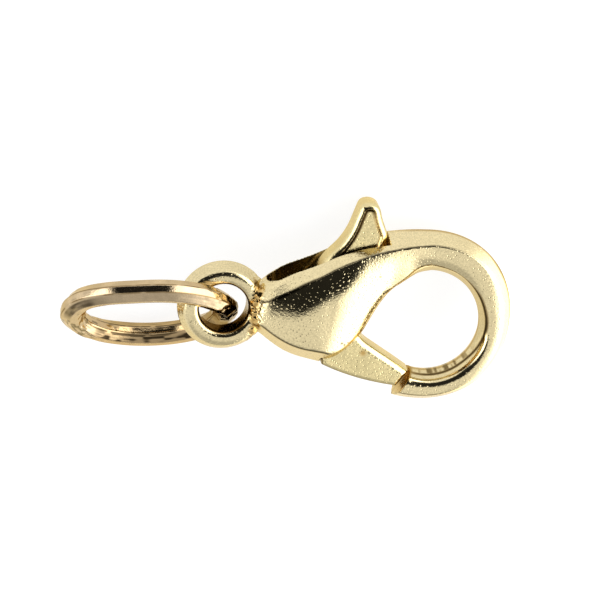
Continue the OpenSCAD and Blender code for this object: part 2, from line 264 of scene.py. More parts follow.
def skin(field, low, high, step=MESH_STEP):
    """Points, quads and normals of the surface where field is zero; it is negative inside."""
    axes = [np.arange(low[k], high[k] + step, step) for k in range(3)]
    gx, gy, gz = np.meshgrid(*axes, indexing="ij")
    values = field(gx, gy, gz)
    inside = values < 0
    count = np.lib.stride_tricks.sliding_window_view(inside, (2, 2, 2)).sum((3, 4, 5))
    mixed = (count > 0) & (count < 8)
    cells = np.argwhere(mixed)
    number = np.full(mixed.shape, -1)
    number[mixed] = np.arange(len(cells))
    total = np.zeros((len(cells), 3))
    hits = np.zeros(len(cells))
    for a, b in EDGES:
        ca, cb = np.array(CORNERS[a]), np.array(CORNERS[b])
        va = values[tuple((cells + ca).T)]
        vb = values[tuple((cells + cb).T)]
        cross = (va < 0) != (vb < 0)
        t = np.where(cross, va / np.where(cross, va - vb, 1), 0)[:, None]
        total += np.where(cross[:, None], ca + (cb - ca) * t, 0)
        hits += cross
    points = np.array(low) + (cells + total / hits[:, None]) * step
    quads = []
    for axis in range(3):
        u, v = (axis + 1) % 3, (axis + 2) % 3
        here = [slice(1, -1)] * 3
        here[axis] = slice(0, -1)
        ahead = list(here)
        ahead[axis] = slice(1, None)
        first, second = inside[tuple(here)], inside[tuple(ahead)]
        for flip, crossing in ((False, first & ~second), (True, ~first & second)):
            at_edge = np.argwhere(crossing)
            at_edge[:, u] += 1
            at_edge[:, v] += 1
            around = []
            for du, dv in ((0, 0), (-1, 0), (-1, -1), (0, -1)):
                cell = at_edge.copy()
                cell[:, u] += du
                cell[:, v] += dv
                around.append(number[tuple(cell.T)])
            quads.append(np.stack(around[::-1] if flip else around, 1))
    quads = np.concatenate(quads)
    for _ in range(MOVES):
        slope = slopes(field, points)
        size2 = np.maximum((slope ** 2).sum(1), LEAST_SLOPE)
        move = (field(*points.T) / size2)[:, None] * slope
        length = np.linalg.norm(move, axis=1, keepdims=True)
        points -= move * np.minimum(1, LONGEST_MOVE * step / np.maximum(length, 1e-9))
    normals = slopes(field, points)
    normals /= np.linalg.norm(normals, axis=1, keepdims=True)
    return points, quads, normals


def put_in_scene(name, data):
    thing = bpy.data.objects.new(name, data)
    bpy.context.scene.collection.objects.link(thing)
    return thing


def make_piece(name, points, faces, normals=None, finish_and_shade=None):
    """A smooth mesh object from clasp-frame points. Its colour layer holds the dirt and painted
    shade, the raw metal and warm painted shade, and the polish at each point."""
    mesh = bpy.data.meshes.new(name)
    mesh.from_pydata(put_on_table(points).tolist(), [], faces, shade_flat=False)
    mesh.validate()
    if normals is not None:
        turned = normals @ np.array(TO_TABLE).T
        mesh.normals_split_custom_set_from_vertices(turned.astype(np.float32).tolist())
    layer = mesh.color_attributes.new("finish_and_shade", "FLOAT_COLOR", "POINT")
    values = np.zeros((len(points), 4), np.float32)
    if finish_and_shade is not None:
        values[:, :len(finish_and_shade)] = np.clip(np.stack(finish_and_shade, 1), 0, 1)
    values[:, 3] = 1
    layer.data.foreach_set("color", values.ravel())
    return put_in_scene(name, mesh)


# The casting: eye, hollow body and hook

TOP_R = ((HOOK_REACH - NECK_X) ** 2 + (HOOK_R - NECK_HALF) ** 2) / (2 * (HOOK_R - NECK_HALF))


def top_point(share):
    x = mix(NECK_X, HOOK_REACH, share)
    return x, HOOK_R - TOP_R + math.sqrt(TOP_R ** 2 - (HOOK_REACH - x) ** 2)


def hook_point(angle):
    """A point of the hook's outline, which is rounder than a square and squarer than a circle."""
    way = toward_angle(angle)
    return (HOOK_REACH, 0) + HOOK_R * np.copysign(np.abs(way) ** (2 / HOOK_SQUARE), way)


def hole_point(angle):
    return HOLE_C + HOLE_R * toward_angle(angle)


# Ends of the hook's outer and inner outline, between which the gate closes on it
TIP_OUT, TIP_IN = hook_point(-90 - TIP_ANGLE), hole_point(-90 - TIP_INNER_ANGLE)


# Belly, from the neck to where the gate leaves it. Heights are shares of the body's half
# thickness, insets are multiples of what the draft gives at that height.
# (along top, along belly, depth, height, outer inset, inner inset, crown)
BELLY_ROWS = [
    (0.000, 0.00, 0.00, 0.40, 1.20, 1.20, 0.0),
    (0.030, 0.08, 0.11, 0.64, 1.40, 1.20, 0.1),
    (0.095, 0.26, 0.40, 0.81, 1.38, 1.08, 0.4),
    (0.175, 0.44, 0.65, 0.91, 1.42, 1.05, 0.7),
    (0.265, 0.63, 0.82, 0.96, 1.44, 1.04, 1.0),
    (0.355, 0.82, 0.92, 0.99, 1.30, 1.08, 1.0),
    (0.440, 1.00, 1.00, 0.97, 1.14, 1.14, 1.0)]

# Cheek, from the belly to the corner. Heights are shares between hook and body.
# (along top, across, up, outer height, outer inset, inner height, inner inset, crown)
CHEEK_ROWS = [
    (0.450, 0.02, 0.22, 0.95, 1.13, 0.84, 0.60, 1.0),
    (0.500, 0.33, 0.33, 0.89, 1.08, 0.64, 0.60, 1.0),
    (0.555, 0.66, 0.60, 0.79, 1.03, 0.36, 0.46, 0.9),
    (0.610, 1.00, 1.00, 0.65, 1.00, 0.08, 0.30, 0.8)]

# Rim of the opening, from the corner to the top of the hook's hole. Inner heights are
# shares between the hook's inner edge and its outer one.
# (along top, across, up, outer height, outer inset, inner height, inner inset, lip, crown)
RIM_ROWS = [
    (0.610, 0.00, 0.000, 0.65, 1.00, 1.13, 0.30, 1.0, 0.8),
    (0.655, 0.10, 0.225, 0.53, 1.01, 1.00, 0.22, 1.0, 0.7),
    (0.710, 0.24, 0.510, 0.39, 1.02, 0.94, 0.22, 1.0, 0.55),
    (0.770, 0.38, 0.705, 0.26, 1.03, 0.88, 0.26, 1.0, 0.3),
    (0.840, 0.59, 0.880, 0.15, 1.02, 0.86, 0.40, 1.0, 0.15),
    (0.915, 0.78, 0.965, 0.07, 0.98, 0.34, 0.85, 0.3, 0.1),
    (1.000, 1.00, 1.000, 0.00, 0.93, 0.00, 1.40, 0.0, 0.1)]

# Columns of a station: its points on the outer and inner outline; heights and insets of the
# outer crease, the inner crease and the inner edge; the crown; how late the face rolls off;
# how soft the two creases are; and 1 where the top flank has no knee
OUT, IN = slice(0, 2), slice(2, 4)
T_OUT, E_OUT, T_IN, E_IN, _, RISE = range(4, 10)


def belly_station(along, across, depth, height, out_inset, in_inset, rise):
    t = BODY_T * height
    inner = (mix(NECK_X, BELLY[0], across), mix(-NECK_HALF, BELLY[1], depth))
    return (*top_point(along), *inner, t, t * FLANK * out_inset, t, t * FLANK * in_inset,
            LAND, CROWN * rise)


def cheek_station(along, across, up, out_height, out_inset, in_height, in_inset, rise):
    t, u = mix(HOOK_T, BODY_T, out_height), mix(LIP, BODY_T, in_height)
    inner = (mix(BELLY[0], CORNER[0], across), mix(BELLY[1], CORNER[1], up))
    return (*top_point(along), *inner, t, t * FLANK * out_inset, u + LAND, u * FLANK * in_inset,
            LIP, CROWN * rise)


def rim_station(along, across, up, out_height, out_inset, in_height, in_inset, lip, rise):
    t, u = mix(HOOK_T, BODY_T, out_height), mix(INNER_T, LIP + LAND, in_height)
    top = hole_point(90)
    inner = (mix(CORNER[0], top[0], across), mix(CORNER[1], top[1], up))
    return (*top_point(along), *inner, t, t * FLANK * out_inset, u, INNER_T * FLANK * in_inset,
            mix(LAND, LIP, lip), CROWN * rise)


def hook_station(share, like):
    """A station round the hook, with the heights and insets of the one before the hook."""
    return (*hook_point(mix(90, -90 - TIP_ANGLE, share)),
            *hole_point(mix(90, -90 - TIP_INNER_ANGLE, share)),
            *like[[T_OUT, E_OUT, T_IN, E_IN]], LAND, like[RISE])


# How late the face rolls off into the opening, on the body and on the hook
BODY_ROLL, HOOK_ROLL = 3.2, 8.0
# Steps that the hook is drawn in, and the stations between which its own values take over
# from the body's, counted from its top
HOOK_STEPS = 110
TURNS_IN = (-14, 6)
# Half thickness and inset of the hook's inner crease at its top, at its side, and along
# the bottom, where the crease is rolled lower between these stations
TOP_INNER_T, TOP_INNER_E = 0.74, 0.32
HOOK_INNER_T, HOOK_INNER_E, SIDE_FROM = 0.80, 0.16, (0, 45)
HOOK_ROLLED_T, HOOK_ROLLED_E, ROLLED_FROM = 0.42, 0.06, (44, 78)
# How softly the outer crease turns over, and the same at the side of the hook; then the
# inner crease, the same on the hook, and the edges
CREASE, CREASE_BESIDE, BESIDE_FROM, BESIDE_TO = 0.10, 0.38, (12, 38), (78, 100)
INNER_CREASE, HOOK_INNER_CREASE = 0.14, 0.09
EDGE_SOFT = 0.07
# How much the side of the hook swells above a flat face, and between which stations
HOOK_CROWN, CROWN_FROM, CROWN_TO = 0.055, (18, 45), (66, 92)
# At the eye's end the top flank has a knee, with these slopes below and above it, and it
# straightens between these places
KNEE_LOW, KNEE_HIGH, KNEE_TO = 3.4, 0.88, (1.9, 3.6)


def casting_stations():
    """Cross-sections of the casting from the neck round to the hook's end, one a row."""
    rows = curve_through([belly_station(*r) for r in BELLY_ROWS], 12)
    rows += curve_through([cheek_station(*r) for r in CHEEK_ROWS], 10)
    rows += curve_through([rim_station(*r) for r in RIM_ROWS], 10)[1:]
    last = rows[-1]
    rows += [hook_station(k / HOOK_STEPS, last) for k in range(1, HOOK_STEPS + 1)]
    rows = np.array(rows)
    # How far along the hook each station is: below zero on the body
    round_hook = np.arange(len(rows)) - (len(rows) - 1 - HOOK_STEPS)

    def between(start, stop=None):
        share = smooth_step(round_hook, *start)
        return share * fade(round_hook, *stop) if stop else share

    turn_in, low, side = between(TURNS_IN), between(ROLLED_FROM), between(SIDE_FROM)
    rows[:, RISE] += HOOK_CROWN * between(CROWN_FROM, CROWN_TO)
    inner_t = mix(mix(TOP_INNER_T, HOOK_INNER_T, side), HOOK_ROLLED_T, low)
    rows[:, T_IN] = mix(rows[:, T_IN], inner_t, turn_in)
    inner_e = mix(mix(TOP_INNER_E, HOOK_INNER_E, side), HOOK_ROLLED_E, low)
    rows[:, E_IN] = mix(rows[:, E_IN], inner_e, turn_in)
    roll = mix(BODY_ROLL, HOOK_ROLL, turn_in)
    soft = mix(CREASE, CREASE_BESIDE, between(BESIDE_FROM, BESIDE_TO))
    soft_in = mix(INNER_CREASE, HOOK_INNER_CREASE, turn_in)
    straight = smooth_step(rows[:, 0], *KNEE_TO)
    return np.column_stack([rows, roll, soft, soft_in, straight])


STATIONS = casting_stations()
# Share of the crown that lies across the face, then the shoulder under the top crease: its
# drop, the share of it by which the face is raised, its width, and the share of that width
# by which it goes on outside the crease
FACE_CROWN = 0.45
SHOULDER = 0.19
SHOULDER_UP = 0.5
SHOULDER_WIDTH = 1.2
SHOULDER_PAST = 0.3
# Least slope of the opening's wall, and least width of the face
WALL_SLOPE = 1.6
LEAST_FACE = 0.05
# A point belongs to the station whose line passes it, if it is within this many widths of
# its middle. The rest belong to the first or the last one, on either side of this x
STATION_REACH = 1.6
STATION_SPLIT = 3
# Points worked out at a time
BATCH = 20000


def casting_layers(x, y):
    """Heights of the outer flank, the face and the inner flank, the distance inside the
    outline, and how soft the outer and inner crease are."""
    st = STATIONS
    way = st[:, IN] - st[:, OUT]
    width = np.linalg.norm(way, axis=1)
    way = way / width[:, None]
    found = np.zeros(len(x), int)
    share = np.zeros(len(x))
    for a in range(0, len(x), BATCH):
        part = slice(a, a + BATCH)
        dx = x[part, None] - st[None, :, 0]
        dy = y[part, None] - st[None, :, 1]
        side = way[:, 0] * dy - way[:, 1] * dx
        across = (way[:, 0] * dx + way[:, 1] * dy) / width
        good = (side[:, :-1] >= 0) & (side[:, 1:] < 0)
        badness = np.where(good, np.abs(across[:, :-1] - 0.5), 1e3)
        best = badness.argmin(1)
        rows = np.arange(len(best))
        s0, s1 = side[rows, best], side[rows, best + 1]
        ok = badness[rows, best] < STATION_REACH
        left = x[part] < STATION_SPLIT
        found[part] = np.where(ok, best, np.where(left, 0, len(st) - 2))
        share[part] = np.where(ok, s0 / np.where(ok, s0 - s1, 1), np.where(left, 0.0, 1.0))
    row = st[found] * (1 - share[:, None]) + st[found + 1] * share[:, None]
    way = row[:, IN] - row[:, OUT]
    width = np.linalg.norm(way, axis=1)
    t_out, e_out, t_in, e_in, t_edge, crown, roll, soft, soft_in, straight = row[:, 4:].T
    u = ((x - row[:, 0]) * way[:, 0] + (y - row[:, 1]) * way[:, 1]) / width
    face = np.maximum(width - e_out - e_in, LEAST_FACE)
    v = (u - e_out) / face
    flank = (t_out - LAND) / e_out
    below = LAND + mix(KNEE_LOW, flank, straight) * u
    above = t_out + mix(KNEE_HIGH, flank, straight) * (u - e_out)
    steep = np.maximum((t_in - t_edge) / e_in, WALL_SLOPE)
    inner = t_in + steep * (width - u - e_in)
    fall = t_in - t_out
    vin = np.clip(v, 0, 1)
    full = crown / CROWN
    rise = crown * mix(1.0, FACE_CROWN, full)
    level = t_out + fall * vin ** roll + rise * 4 * vin * (1 - vin)
    level += np.minimum(v, 0) * 4 * rise
    level += np.maximum(v - 1, 0) * (fall * roll - 4 * rise)
    near = np.maximum(1 - v * face / SHOULDER_WIDTH, 0)
    level += SHOULDER * full ** 2 * (SHOULDER_UP - np.minimum(near, 1 + SHOULDER_PAST) ** 2)
    edge = outline_distance(x, y, np.concatenate([st[:, OUT], st[::-1, IN]])[::2])
    return np.minimum(below, above), level, inner, edge, soft, soft_in


# Angles round the hook's hole between which the slot opens into it, how far it reaches past
# the belly's end, and how much closer to the lever its right end is than in the solid
SLOT_HOLE_ANGLE = 134
SLOT_LOW_ANGLE = 225
BELLY_LIP = 0.02
END_CLOSER = 0.10
# The trigger's arm rises straight from the belly's end by this much before it leans back to
# the hub. The slot's floor follows it with this much room
ARM_BACK = (-0.04, 0.72)
ARM_ROOM = 0.03
# How far beyond the metal the open sides of the slot's outline are drawn
BEYOND = 1


def slot_outline():
    end_x = SLOT_END_X - END_CLOSER
    end_y = top_point((SLOT_END_X - NECK_X) / (HOOK_REACH - NECK_X))[1]
    arc = [(PIVOT_X, 0) + toward_angle(a, HUB_R + HUB_ROOM) for a in range(180, 286, 5)]
    top, low = LEVER_H + BEYOND, BELLY[1] - BEYOND
    return [(SLOT_X, top), (SLOT_X, NECK_HALF), *arc,
            (BELLY[0] + ARM_BACK[0] - ARM_ROOM, BELLY[1] + ARM_BACK[1] - ARM_ROOM),
            (BELLY[0] - BELLY_LIP, BELLY[1]), (BELLY[0] - BELLY_LIP, low),
            (CORNER[0] + BEYOND, low), hole_point(SLOT_LOW_ANGLE), HOLE_C,
            hole_point(SLOT_HOLE_ANGLE), (end_x, end_y), (end_x, top)]


# Corners of the map, and how much each of its layers is smoothed
CAST_LOW, CAST_HIGH = (-1.75, -3.35), (10.75, 3.35)
CAST_SOFT = (0.07, 0.11, 0.05, 0, 0.1, 0.1)
casting_map = Relief(CAST_LOW, CAST_HIGH, lambda x, y: (
    *casting_layers(x, y), outline_distance(x, y, slot_outline())), soft=CAST_SOFT)

# How far the eye's flank stands outside the plain cone, and how softly it meets the face
EYE_OUT = 0.04
EYE_SOFT = 0.26
EYE_T = EYE_THICK / 2
EYE_FLANK_R = EYE_D / 2 - (EYE_T - LAND) * FLANK + EYE_OUT


def eye_field(x, y, z):
    r = np.hypot(x, y)
    up = np.abs(z)
    flank = (r - EYE_FLANK_R - (EYE_T - up) * FLANK) * math.cos(math.radians(DRAFT))
    face = up - EYE_T
    rim = EYE_HOLE_D / 2 - r
    hollow = np.hypot(np.maximum(rim + EYE_ROUND, 0), np.maximum(face + EYE_ROUND, 0)) - EYE_ROUND
    solid = np.maximum(hollow, np.maximum(rim, face))
    return smooth_max(np.maximum(solid, np.minimum(hollow, 1)), flank, EYE_SOFT)


# Lumps of metal where the sprue of the eye meets the body
# (x, y, z, radius)
LUMPS = [(1.24, 0.56, 0.50, 0.20), (1.12, 0.30, 0.56, 0.17), (1.32, 0.12, 0.56, 0.19),
         (1.10, -0.06, 0.58, 0.14), (1.20, -0.30, 0.52, 0.22), (1.30, -0.56, 0.46, 0.15),
         (1.10, -0.74, 0.40, 0.20)]
# Height of the wrinkles on them, their middle, and where they fade out on either side
WRINKLE = 0.022
WRINKLE_X, WRINKLE_FADE = 1.16, (0.12, 0.26)
# Share that makes the height above a relief into something like a distance from it
RELIEF_SHARE = 0.8
# How softly the slot's sides meet its floor, a cut the metal, the eye the body, and the
# lumps both
CORNER_SOFT, CUT_SOFT, JOIN_SOFT, LUMP_SOFT = 0.03, 0.05, 0.14, 0.10


def lump_distances(x, y, z):
    for lx, ly, lz, r in LUMPS:
        yield np.sqrt((x - lx) ** 2 + (y - ly) ** 2 + (np.abs(z) - lz) ** 2) - r


def slot_side(x, z):
    """Distance outside the slot's two sides, which meet in a round end by the eye."""
    return np.hypot(np.maximum(SLOT_X + SLOT_T - x, 0), z) - SLOT_T


def casting_field(x, y, z):
    outer, level, inner, edge, soft, soft_in, slot = casting_map.read(x, y)
    height = smooth_min(smooth_min(outer, level, soft), inner, soft_in)
    relief = (np.abs(z) - height) * RELIEF_SHARE
    solid = smooth_max(relief, -edge, EDGE_SOFT)
    cut = smooth_max(-slot, slot_side(x, z), CORNER_SOFT)
    solid = smooth_max(solid, -cut, CUT_SOFT)
    pin_front = BODY_T + CROWN - PIN_COVER
    bore = np.maximum(np.hypot(x - PIVOT_X, y) - PIN_D / 2 - PIN_HOLD, z - pin_front)
    solid = smooth_max(solid, -bore, CUT_SOFT)
    solid = smooth_min(solid, eye_field(x, y, z), JOIN_SOFT)
    for ball in lump_distances(x, y, z):
        solid = smooth_min(solid, ball, LUMP_SOFT)
    rough = np.sin(17 * x + 9 * y + 2) * np.sin(21 * y - 6 * x) * np.cos(16 * z + 7 * x)
    return solid + WRINKLE * rough * fade(np.abs(x - WRINKLE_X), *WRINKLE_FADE)


def tip_distance(x, y):
    """Distance from the hook's end face."""
    return outline_distance(x, y, [TIP_OUT, TIP_IN], closed=False)


# Half widths of the painted shade lines in the outer crease, along the opening and along
# the hook's hole, as heights
CREASE_LINE, HOLE_LINE, HOOK_LINE = 0.060, 0.14, 0.10
# How much the eye is darkened, how much painted shade darkens the belly's flank and the
# wall of the opening, and how many marks are scored round that wall
EYE_SHADE, BELLY_SHADE, WALL_SHADE = 0.07, 0.05, 0.16
WALL_MARKS = 160
# Small dark marks on the face, by the belly and at the corner of the opening
# (x, y, radius)
SPECKS = [(4.24, -0.85, 0.07), (4.36, -0.93, 0.06), (4.48, -0.86, 0.05), (4.96, -0.44, 0.06),
          (5.00, -0.60, 0.08), (5.45, 1.65, 0.05)]


def casting_finish_and_shade(points):
    """Painted shade in the slot, the creases and the eye's hole, a darker eye, raw metal on the
    sprue's lumps, and polish round the hook's hole."""
    x, y, z = points.T
    up = np.abs(z)
    outer, level, inner, _, _, _, slot = casting_map.read(x, y)
    angle = np.arctan2(y - HOLE_C[1], x - HOLE_C[0])
    from_hole = np.hypot(x - HOLE_C[0], y - HOLE_C[1]) - HOLE_R
    on_face = smooth_step(up, SLOT_T + 0.05, SLOT_T + 0.15)

    def past(low, high):
        return smooth_step(x, low, high)

    # Painted shade in the slot, and painted shade with raw metal on the hook's end where the gate
    # closes on it
    in_slot = smooth_step(slot, -0.02, 0.06) * smooth_step(-slot_side(x, z), -0.03, 0.03)
    slot_end = past(5.2, 5.5)
    end = fade(tip_distance(x, y), 0.03, 0.10)

    # The eye, the wall of its hole with painted shade, the sprue's lumps and the seam where it
    # joins the body
    eye = smooth_step(-x, -1.1, -0.9)
    wall = smooth_step(-np.hypot(x, y), -EYE_HOLE_D / 2 - 0.10, -EYE_HOLE_D / 2 - 0.02)
    lumps = np.max([fade(away, 0, 0.12) for away in lump_distances(x, y, z)], 0)
    joined = fade(np.abs(eye_field(x, y, z)), 0.03, 0.12)
    joined *= past(0.95, 1.1) * fade(x, 1.3, 1.45) * smooth_step(up, 0.2, 0.35)

    # A painted shade line in the crease between the flank and the face, except at the hook's lower
    # right
    beside = past(8.6, 9.6) * smooth_step(y, -2.6, -2.0)
    crease = fade(np.abs(outer - level), 0.3 * CREASE_LINE, CREASE_LINE)
    crease *= on_face * (1 - beside) * smooth_step(inner - level, 0.0, 0.1)

    # A painted shade line in the crease along the belly and the opening. On the hook it lies
    # between its inner wall and its rolled face
    rim = fade(np.abs(inner - level), 0.2 * HOLE_LINE, HOLE_LINE)
    rim *= smooth_step(outer - level, 0.0, 0.1)
    crease_t = mix(HOOK_INNER_T, HOOK_ROLLED_T, smooth_step(-angle, -0.2, 0.9))
    hook_rim = fade(np.abs(up - crease_t), 0.3 * HOOK_LINE, HOOK_LINE)
    hook_rim *= fade(from_hole, 0.22, 0.30)
    rim = mix(rim, hook_rim, past(6.4, 7.0))
    belly = rim * fade(x, 3.7, 4.2) * past(1.2, 1.4)
    rim *= past(4.2, 4.8)
    rim_shade = mix(0.35, 0.95, past(6.6, 7.6))

    # A darker band with warmer metal round the middle of the hook's edges, broader and darker at
    # its right end
    right = past(9.2, 10.0)
    dark_mid_band = fade(up / mix(0.15, 0.30, right), 0.45, 1.0) * past(5.5, 7.0)

    # Painted shade on the wall below the inner crease, and the marks scored across it on the hook
    below = smooth_step(level - inner, 0.03, 0.12) * past(1.1, 1.4)
    below *= mix(BELLY_SHADE, WALL_SHADE, past(4.0, 6.4))
    marks = np.random.default_rng(21).uniform(0, 1, WALL_MARKS)
    marks = np.interp(angle, np.linspace(-math.pi, math.pi, WALL_MARKS), marks)
    scored = smooth_step(marks, 0.40, 0.65) * smooth_step(-angle, 0.3, 0.9)
    scored *= fade(-angle, 2.0, 2.3) * fade(up - crease_t, -0.12, -0.02)
    scored *= past(6.0, 6.6) * fade(from_hole, 0.14, 0.20)

    speck = np.max([fade(np.hypot(x - sx, y - sy), 0.4 * size, size)
                    for sx, sy, size in SPECKS], 0)

    # Dirt and marks, with painted shade in the slot, on the hook's end, in the eye's hole, along
    # the creases and on the walls below them
    dirt_and_shade = np.max([
        mix(1.0, 0.2, slot_end) * in_slot, 0.45 * end,
        EYE_SHADE * eye, 0.75 * wall, 0.7 * joined * (1 - 0.8 * lumps),
        0.95 * crease, 0.9 * belly, rim_shade * rim, mix(0.3, 0.85, right) * dark_mid_band,
        below, 0.75 * scored, speck * on_face], 0)
    raw_metal_and_shade = np.max([
        0.5 * in_slot * slot_end, end, 0.6 * wall, 0.75 * lumps, 0.8 * joined,
        0.7 * rim, 0.5 * dark_mid_band, 0.5 * scored], 0)
    polished = past(6.0, 6.6) * fade(from_hole, 0.30, 0.45)
    return dirt_and_shade, raw_metal_and_shade, polished


def box_round(low, high, inset, top):
    """Box to look for a surface in: inset in its map, and up to top on both sides."""
    return ((low[0] + inset, low[1] + inset, -top), (high[0] - inset, high[1] - inset, top))


def make_casting():
    box = box_round(CAST_LOW, CAST_HIGH, 0.08, BODY_T + 0.32)
    points, quads, normals = skin(casting_field, *box)
    return make_piece("casting", points, quads.tolist(), normals, casting_finish_and_shade(points))


# The trigger: thumb lever, hub and gate

# Outlines as shares of the lever's height from the pivot: (across, up)
LEVER_LINE = [
    (0.495, -0.075), (0.545, 0.045), (0.615, 0.215), (0.645, 0.410), (0.650, 0.620), (0.667, 0.714),
    (0.644, 0.778), (0.610, 0.861), (0.584, 0.945), (0.550, 0.985), (0.494, 1.000), (0.440, 0.988),
    (0.410, 0.957), (0.384, 0.880), (0.336, 0.737), (0.268, 0.617), (0.172, 0.507), (0.060, 0.358)]
# Outlines as shares of the way from the belly's end, or the corner, to the hook's tip:
# (along, down below that line as a share of its length)
GATE_LOW_LINE = [(0.00, 0.00), (0.22, 0.028), (0.50, 0.040), (0.78, 0.026), (1.00, 0.0)]
GATE_HIGH_LINE = [(1.00, 0.0), (0.70, 0.010), (0.42, 0.025), (0.16, 0.035), (0.02, 0.010)]
# Where on the hook's end face the gate's two edges end, how far inside the belly's end and
# the corner they start, and the point where the lever's rounded rim starts
GATE_END = (0.36, 0.95)
ARM_LOW_IN = 0.03
ARM_HIGH_IN = 0.12
THUMB_FROM = 20


def trigger_lines():
    """The gate's lower and upper edge, the lever and the hub, as lists of points."""
    along = TIP_IN - TIP_OUT
    normal = np.array([-along[1], along[0]]) / np.linalg.norm(along)
    end_low, end_high = [TIP_OUT + along * share + normal * GATE_GAP for share in GATE_END]

    def line(start, stop, rows):
        d = np.array(stop) - np.array(start)
        across = np.array([d[1], -d[0]])
        return curve_through([np.array(start) + d * a + across * b for a, b in rows], 8)

    low = line((BELLY[0], BELLY[1] + ARM_LOW_IN), end_low, GATE_LOW_LINE)
    high = line((CORNER[0], CORNER[1] - ARM_HIGH_IN), end_high, GATE_HIGH_LINE)
    lever = curve_through([(PIVOT_X + LEVER_H * a, LEVER_H * b) for a, b in LEVER_LINE], 8)
    hub = [(PIVOT_X, 0) + toward_angle(a, HUB_R) for a in range(115, 296, 6)]
    return low, high, lever, hub


def trigger_layers(x, y):
    """Distances inside the whole outline, from the gate's upper edge and from the lever's rim."""
    low, high, lever, hub = trigger_lines()
    back = [(BELLY[0] + ARM_BACK[0], BELLY[1] + ARM_BACK[1])]
    whole = outline_distance(x, y, low + high + lever + hub + back)
    rim = outline_distance(x, y, high + lever[:1], closed=False)
    thumb = outline_distance(x, y, lever[THUMB_FROM:], closed=False)
    return whole, rim, thumb


TRIG_LOW, TRIG_HIGH = (1.85, -3.2), (7.3, 4.4)
trigger_map = Relief(TRIG_LOW, TRIG_HIGH, trigger_layers)
# Bevel widths of the gate's lower edge, of its edge in the opening and of the thumb lever
BEVEL_LOW, BEVEL_RIM, BEVEL_THUMB = 0.10, 0.20, 0.15
# Slope of the last two, and how softly each of the three meets the flat
BEVEL_SLOPE = 0.9
LOW_SOFT, RIM_SOFT, THUMB_SOFT = 0.08, 0.12, 0.14
# How softly the trigger's outline and its bore turn into the flat
OUTLINE_SOFT, BORE_SOFT = 0.16, 0.03
# The lever's flat face is sunk inside its rounded rim: rim width, wall width, depth, and
# the heights above the pivot over which it starts
RIM_WIDTH, RIM_WALL, RIM_DEPTH = 0.19, 0.10, 0.08
FLAT_FROM = (0.8, 1.6)
# A brown spot on the gate
GATE_SPOT = (5.15, -1.39)


def trigger_field(x, y, z):
    whole, rim, thumb = trigger_map.read(x, y)
    flat = TRIGGER_T + 0 * x
    low = flat - BEVEL_LOW + whole
    high = flat - (BEVEL_RIM - rim) * BEVEL_SLOPE
    lever = flat - (BEVEL_THUMB - thumb) * BEVEL_SLOPE
    height = smooth_min(smooth_min(flat, low, LOW_SOFT), high, RIM_SOFT)
    height = smooth_min(height, lever, THUMB_SOFT)
    sunk = smooth_step(thumb, RIM_WIDTH, RIM_WIDTH + RIM_WALL)
    height -= RIM_DEPTH * sunk * smooth_step(y, *FLAT_FROM)
    solid = smooth_max((np.abs(z) - height) * RELIEF_SHARE, -whole, OUTLINE_SOFT)
    bore = np.hypot(x - PIVOT_X, y) - PIN_D / 2 - PIN_PLAY
    return smooth_max(solid, -bore, BORE_SOFT)


def trigger_finish_and_shade(points):
    """Painted shade along the wall inside the rim, deep in the slot and on the gate's lower edge,
    raw metal there, and polish on the lever's rim and along the opening."""
    x, y, z = points.T
    whole, rim, thumb = trigger_map.read(x, y)
    front = smooth_step(np.abs(z), 0.3, 0.4)
    wall = smooth_step(thumb, RIM_WIDTH - 0.04, RIM_WIDTH + 0.01)
    wall *= fade(thumb, RIM_WIDTH + RIM_WALL - 0.01, RIM_WIDTH + RIM_WALL + 0.05)
    left = fade(x - PIVOT_X - 0.30 * y, 0.9, 1.25)
    right = smooth_step(x - PIVOT_X, 1.2, 2.0)
    deep_shade = fade(y - 0.245 * (x - PIVOT_X), 1.45, 1.85) * smooth_step(y, -0.4, 0.2)
    edge = fade(whole, 0.03, 0.07) * smooth_step(-y, 0.9, 1.3) * smooth_step(rim, 0.2, 0.5)
    low_edge_shade = fade(whole, 0.04, 0.10) * smooth_step(rim, 0.3, 0.5) * smooth_step(-y, 1.0, 1.4)
    spot = fade(np.hypot(x - GATE_SPOT[0], y - GATE_SPOT[1]), 0.03, 0.17)
    # Painted shade on the left of the wall inside the lever's rim, deep in the slot and on the
    # gate's lower edge; the gate's brown spot is a stain
    dirt_and_shade = np.max([wall * left * front * smooth_step(y, 1.0, 1.6), mix(0.8, 0.3, right) * deep_shade,
                   0.8 * low_edge_shade, 0.15 * spot], 0)
    raw_metal_and_shade = np.max([0.5 * wall * front, 0.9 * deep_shade, 0.3 * edge, 0.7 * spot], 0)
    on_rim = fade(thumb, RIM_WIDTH - 0.06, RIM_WIDTH) * smooth_step(y, *FLAT_FROM)
    return dirt_and_shade, raw_metal_and_shade, np.maximum(on_rim, fade(rim, 0.15, 0.25))


def make_trigger():
    box = box_round(TRIG_LOW, TRIG_HIGH, 0.06, TRIGGER_T + 0.14)
    points, quads, normals = skin(trigger_field, *box, TRIGGER_STEP)
    return make_piece("trigger_lever", points, quads.tolist(), normals, trigger_finish_and_shade(points))


# Pieces turned round an axis, or bent round one

def tube_faces(rings, sides):
    """Quads of an open tube whose points come ring by ring, facing out."""
    i, k = np.meshgrid(np.arange(rings - 1), np.arange(sides), indexing="ij")
    a, b = i * sides + k, i * sides + (k + 1) % sides
    return np.stack([a + sides, b + sides, b, a], -1).reshape(-1, 4).tolist()


PIN_SIDES = 96
PIN_ROUND = 0.08


